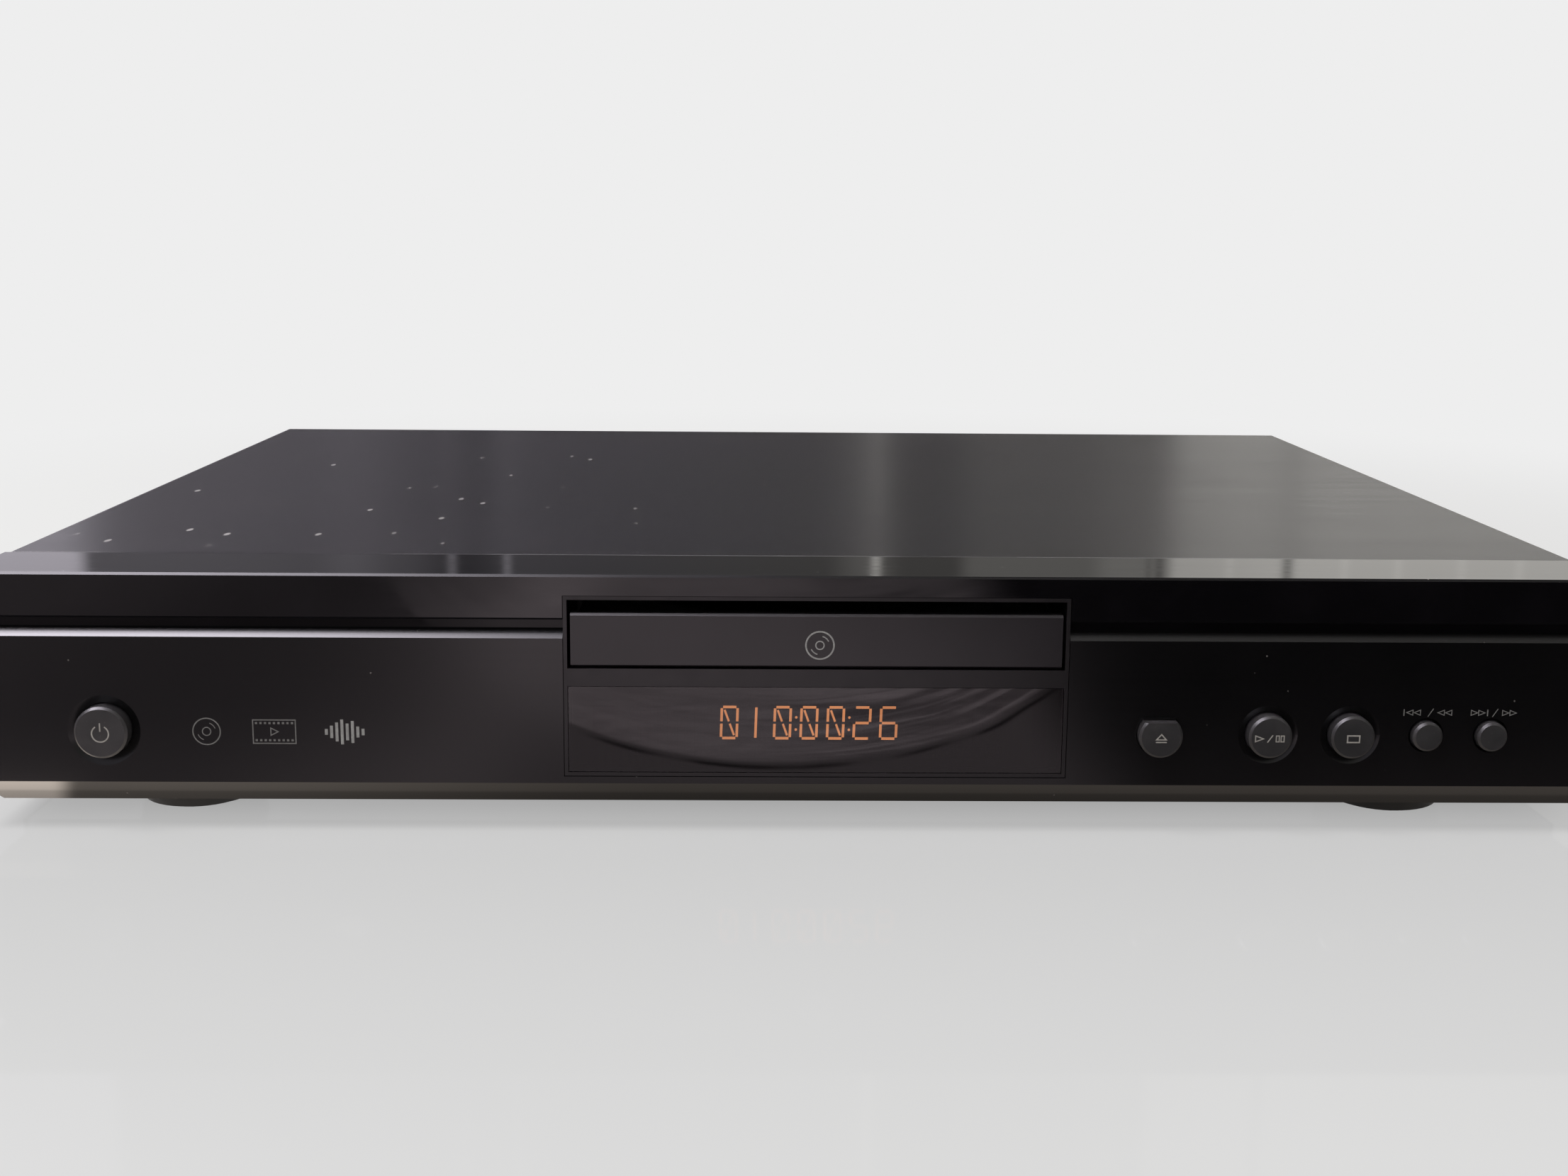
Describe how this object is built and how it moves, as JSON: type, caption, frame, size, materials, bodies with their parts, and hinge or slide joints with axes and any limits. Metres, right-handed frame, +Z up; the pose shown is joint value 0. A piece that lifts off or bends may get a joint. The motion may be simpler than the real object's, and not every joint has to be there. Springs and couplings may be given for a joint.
{
  "type": "dvd player with tray",
  "caption": "Low wide disc player: black cabinet on four feet, motorised front tray over a smoked display window, round push buttons, rear sockets.",
  "frame": {"origin": "on the surface under the feet, below the middle of the bounding box", "axes": "+Z up, the front panel faces -Y, +X to the right of someone facing the front panel"},
  "size_m": [0.435, 0.3158, 0.07],
  "materials": {
    "cover_paint": "satin black paint with a fine streak from side to side",
    "chassis_steel": "zinc-plated sheet",
    "panel_black": "satin black",
    "gloss_black": "polished black",
    "bezel_black": "satin black",
    "window_smoke": "smoked acrylic, polished",
    "button_black": "satin black caps",
    "foot_plastic": "moulded black",
    "pad_rubber": "matt rubber",
    "screw_black": "black oxide",
    "screw_zinc": "zinc plate",
    "rear_paint": "fine textured black paint",
    "socket_black": "moulded black",
    "pin_metal": "plated pins",
    "barrel_metal": "nickel-plated barrels",
    "insert_colours": "red, white, yellow, green, blue and orange insulators",
    "board_green": "green board with solder mask",
    "board_brown": "brown single-sided board",
    "chip_black": "moulded packages",
    "transformer_parts": "taped winding and ferrite core",
    "can_sleeve": "sleeved cans",
    "heat_sink_alu": "extruded fins",
    "tube_glass": "display tube behind the window",
    "switch_black": "switch bodies",
    "receiver_dark": "dark filter",
    "cable_grey": "flat grey ribbon",
    "loader_black": "moulded black",
    "motor_steel": "drawn can",
    "belt_rubber": "square rubber belt",
    "bridge_steel": "pressed steel",
    "tray_black": "fine-textured black",
    "door_black": "satin gloss black",
    "gear_ivory": "acetal",
    "pulley_brass": "turned",
    "deck_steel": "pressed steel",
    "grommet_rubber": "soft rubber",
    "rod_steel": "ground rods",
    "turntable_black": "moulded with a rubber ring",
    "clamper_black": "moulded with a steel insert",
    "sled_alloy": "dark cast sled",
    "lens_blue": "lens in a black holder"
  },
  "bodies": {
    "cabinet": {"chassis_base": "chassis_steel", "rear_panel": "rear_paint", "top_cover": "cover_paint", "front_band": "gloss_black", "lower_panel": "panel_black", "centre_bezel": "bezel_black", "display_window": "window_smoke", "feet": "foot_plastic", "foot_pads": "pad_rubber", "foot_screws": "screw_zinc", "cover_screws": "screw_black", "rear_screws": "screw_black", "mains_inlet": "socket_black", "inlet_pins": "pin_metal", "jack_housings": "socket_black", "jack_barrels": "barrel_metal", "jack_inserts": "insert_colours", "video_socket": "socket_black", "optical_socket": "socket_black", "main_board": "board_green", "main_chips": "chip_black", "power_board": "board_brown", "transformer": "transformer_parts", "capacitors": "can_sleeve", "heat_sink": "heat_sink_alu", "board_screws": "screw_zinc", "front_board": "board_green", "display_tube": "tube_glass", "switches": "switch_black", "remote_receiver": "receiver_dark", "front_cable": "cable_grey", "loader_frame": "loader_black", "loader_screws": "screw_zinc", "loading_motor": "motor_steel", "drive_belt": "belt_rubber", "clamp_bridge": "bridge_steel"},
    "tray": {"disc_tray": "tray_black", "tray_door": "door_black"},
    "tray_gear": {"tray_gear": "gear_ivory"},
    "belt_wheel": {"belt_wheel": "gear_ivory"},
    "motor_pulley": {"motor_pulley": "pulley_brass"},
    "cam_slider": {"cam_slider": "gear_ivory"},
    "deck": {"drive_deck": "deck_steel", "deck_grommets": "grommet_rubber", "spindle_motor": "motor_steel", "guide_rods": "rod_steel", "feed_motor": "motor_steel"},
    "turntable": {"turntable": "turntable_black"},
    "clamper": {"clamper": "clamper_black"},
    "pickup": {"pickup_sled": "sled_alloy"},
    "lens": {"lens_holder": "lens_blue"},
    "feed_gear": {"feed_gear": "gear_ivory"},
    "standby_button": {"standby_button": "button_black"},
    "forward_button": {"forward_button": "button_black"},
    "back_button": {"back_button": "button_black"},
    "stop_button": {"stop_button": "button_black"},
    "play_button": {"play_button": "button_black"},
    "eject_button": {"eject_button": "button_black"}
  },
  "joints": [
    {"name": "tray_slide", "type": "slide", "parent": "cabinet", "child": "tray", "axis": [0, -1, 0], "range_m": [0, 0.134]},
    {"name": "tray_gear_turn", "type": "hinge", "parent": "cabinet", "child": "tray_gear", "pos_m": [-0.0422, -0.1156, 0.045], "axis": [0, 0, 1], "range_deg": [-2, 875]},
    {"name": "belt_wheel_turn", "type": "hinge", "parent": "cabinet", "child": "belt_wheel", "pos_m": [-0.0266, -0.1156, 0.041], "axis": [0, 0, 1], "range_deg": [-1132, 2]},
    {"name": "motor_pulley_turn", "type": "hinge", "parent": "cabinet", "child": "motor_pulley", "pos_m": [-0.0026, -0.1156, 0.04], "axis": [0, 0, 1], "range_deg": [-3842, 2]},
    {"name": "deck_hinge", "type": "hinge", "parent": "cabinet", "child": "deck", "pos_m": [0.005, 0.0049, 0.041], "axis": [1, 0, 0], "range_deg": [0, 4]},
    {"name": "cam_slide", "type": "slide", "parent": "cabinet", "child": "cam_slider", "axis": [1, 0, 0], "range_m": [-0.0005, 0.0205]},
    {"name": "spindle", "type": "hinge", "parent": "deck", "child": "turntable", "pos_m": [0.005, -0.0866, 0.055], "axis": [0, 0, 1], "continuous": true},
    {"name": "clamper_spin", "type": "hinge", "parent": "cabinet", "child": "clamper", "pos_m": [0.005, -0.0866, 0.059], "axis": [0, 0, 1], "continuous": true},
    {"name": "pickup_slide", "type": "slide", "parent": "deck", "child": "pickup", "axis": [0, 1, 0], "range_m": [0, 0.034]},
    {"name": "feed_gear_turn", "type": "hinge", "parent": "deck", "child": "feed_gear", "pos_m": [-0.0322, -0.0371, 0.044], "axis": [0, 0, 1], "range_deg": [-2, 273]},
    {"name": "lens_focus", "type": "slide", "parent": "pickup", "child": "lens", "axis": [0, 0, 1], "range_m": [-0.0004, 0.0004], "stiffness_N_per_m": 60},
    {"name": "standby_press", "type": "slide", "parent": "cabinet", "child": "standby_button", "axis": [0, 1, 0], "range_m": [0, 0.0007], "stiffness_N_per_m": 400},
    {"name": "eject_press", "type": "slide", "parent": "cabinet", "child": "eject_button", "axis": [0, 1, 0], "range_m": [0, 0.0007], "stiffness_N_per_m": 400},
    {"name": "play_press", "type": "slide", "parent": "cabinet", "child": "play_button", "axis": [0, 1, 0], "range_m": [0, 0.0007], "stiffness_N_per_m": 400},
    {"name": "stop_press", "type": "slide", "parent": "cabinet", "child": "stop_button", "axis": [0, 1, 0], "range_m": [0, 0.0007], "stiffness_N_per_m": 400},
    {"name": "back_press", "type": "slide", "parent": "cabinet", "child": "back_button", "axis": [0, 1, 0], "range_m": [0, 0.0007], "stiffness_N_per_m": 400},
    {"name": "forward_press", "type": "slide", "parent": "cabinet", "child": "forward_button", "axis": [0, 1, 0], "range_m": [0, 0.0007], "stiffness_N_per_m": 400}
  ],
  "couplings": [
    {"joint": "tray_gear_turn", "follows": "tray_slide", "rad_per_m": 113.64},
    {"joint": "belt_wheel_turn", "follows": "tray_slide", "rad_per_m": -147.06},
    {"joint": "motor_pulley_turn", "follows": "tray_slide", "rad_per_m": -500},
    {"joint": "cam_slide", "follows": "deck_hinge", "m_per_rad": 0.28648},
    {"joint": "clamper_spin", "follows": "spindle", "ratio": 1},
    {"joint": "feed_gear_turn", "follows": "pickup_slide", "rad_per_m": 138.89}
  ]
}
